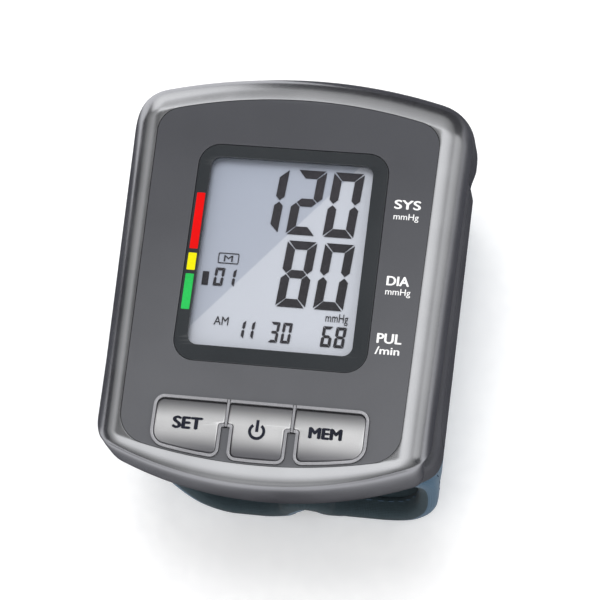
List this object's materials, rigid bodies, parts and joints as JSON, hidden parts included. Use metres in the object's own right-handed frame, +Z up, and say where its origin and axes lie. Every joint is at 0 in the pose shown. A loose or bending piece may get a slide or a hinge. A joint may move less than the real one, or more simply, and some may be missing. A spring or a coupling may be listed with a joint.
{
  "type": "wrist blood pressure monitor",
  "caption": "Slim rounded monitor case with a large display window and a row of keys, standing on a closed padded wrist cuff pushed flat below it.",
  "frame": {"origin": "below the middle of the case, on the surface that the flattened cuff rests on", "axes": "+X to the display's right, +Y to the display's top, +Z up out of the display"},
  "size_m": [0.0706, 0.0886, 0.0455],
  "materials": {
    "bladder": "translucent film",
    "manifold": "natural white",
    "cell": "plain wrapped steel can",
    "rear_case": "fine texture, charcoal grey",
    "screw": "zinc plated",
    "buzzer": "black",
    "cuff_cloth": "blue-grey knitted nylon",
    "contact": "nickel plated spring steel",
    "stiffener": "natural polypropylene",
    "window_border": "printed slate border",
    "lens": "clear",
    "panel": "fine satin grey",
    "silver_frame": "satin silver lacquer on moulded ABS",
    "hook_tape": "moulded hooks",
    "key_rim": "bright plated rim",
    "holder": "moulded white",
    "lcd": "grey reflective liquid crystal",
    "loop_cloth": "brushed loop pile",
    "strip": "conductive rubber",
    "board": "green solder mask on glass laminate",
    "key": "bright silver lacquer",
    "chip": "black epoxy",
    "plunger": "amber",
    "switch": "black",
    "sensor": "black",
    "pump_head": "black",
    "hose": "translucent silicone",
    "motor": "plated steel can",
    "valve": "plated yoke"
  },
  "bodies": {
    "case": {"air_bladder": "bladder", "air_manifold": "manifold", "battery_1": "cell", "battery_2": "cell", "board_screw_1": "screw", "board_screw_2": "screw", "board_screw_3": "screw", "board_screw_4": "screw", "buzzer": "buzzer", "case_screw_1": "screw", "case_screw_2": "screw", "case_screw_3": "screw", "case_screw_4": "screw", "coil_contact_1": "contact", "coil_contact_2": "contact", "cuff_screw_1": "screw", "cuff_screw_2": "screw", "cuff_sleeve": "cuff_cloth", "cuff_stiffener": "stiffener", "display_frame": "window_border", "display_window": "lens", "face_panel": "panel", "front_housing": "silver_frame", "key_frame": "key_rim", "lcd_holder": "holder", "lcd_panel": "lcd", "loop_patch": "loop_cloth", "lower_contact_strip": "strip", "main_board": "board", "memory_chip": "chip", "memory_switch": "switch", "microcontroller": "chip", "plate_contact_1": "contact", "plate_contact_2": "contact", "port_fitting": "manifold", "power_switch": "switch", "pressure_sensor": "sensor", "pump_head": "pump_head", "pump_hose": "hose", "pump_motor": "motor", "rear_housing": "rear_case", "release_valve": "valve", "sensor_hose": "hose", "set_switch": "switch", "upper_contact_strip": "strip", "valve_hose": "hose"},
    "set_key": {"set_button": "key", "set_plunger": "plunger"},
    "power_key": {"power_button": "key", "power_plunger": "plunger"},
    "memory_key": {"memory_button": "key", "memory_plunger": "plunger"},
    "battery_door": {"battery_door": "rear_case"},
    "closing_tab": {"closing_tab": "cuff_cloth", "hook_patch": "hook_tape"}
  },
  "joints": [
    {"name": "set_press", "type": "slide", "parent": "case", "child": "set_key", "axis": [0, 0, -1], "range_m": [0, 0.0007], "stiffness_N_per_m": 2500, "springref_m": -0.0002},
    {"name": "power_press", "type": "slide", "parent": "case", "child": "power_key", "axis": [0, 0, -1], "range_m": [0, 0.0007], "stiffness_N_per_m": 2500, "springref_m": -0.0002},
    {"name": "memory_press", "type": "slide", "parent": "case", "child": "memory_key", "axis": [0, 0, -1], "range_m": [0, 0.0007], "stiffness_N_per_m": 2500, "springref_m": -0.0002},
    {"name": "door_slide", "type": "slide", "parent": "case", "child": "battery_door", "axis": [1, 0, 0], "range_m": [0, 0.014]},
    {"name": "tab_peel", "type": "hinge", "parent": "case", "child": "closing_tab", "pos_m": [-0.0241, -0.0038, 0.0058], "axis": [0, -1, 0], "range_deg": [0, 85]}
  ]
}
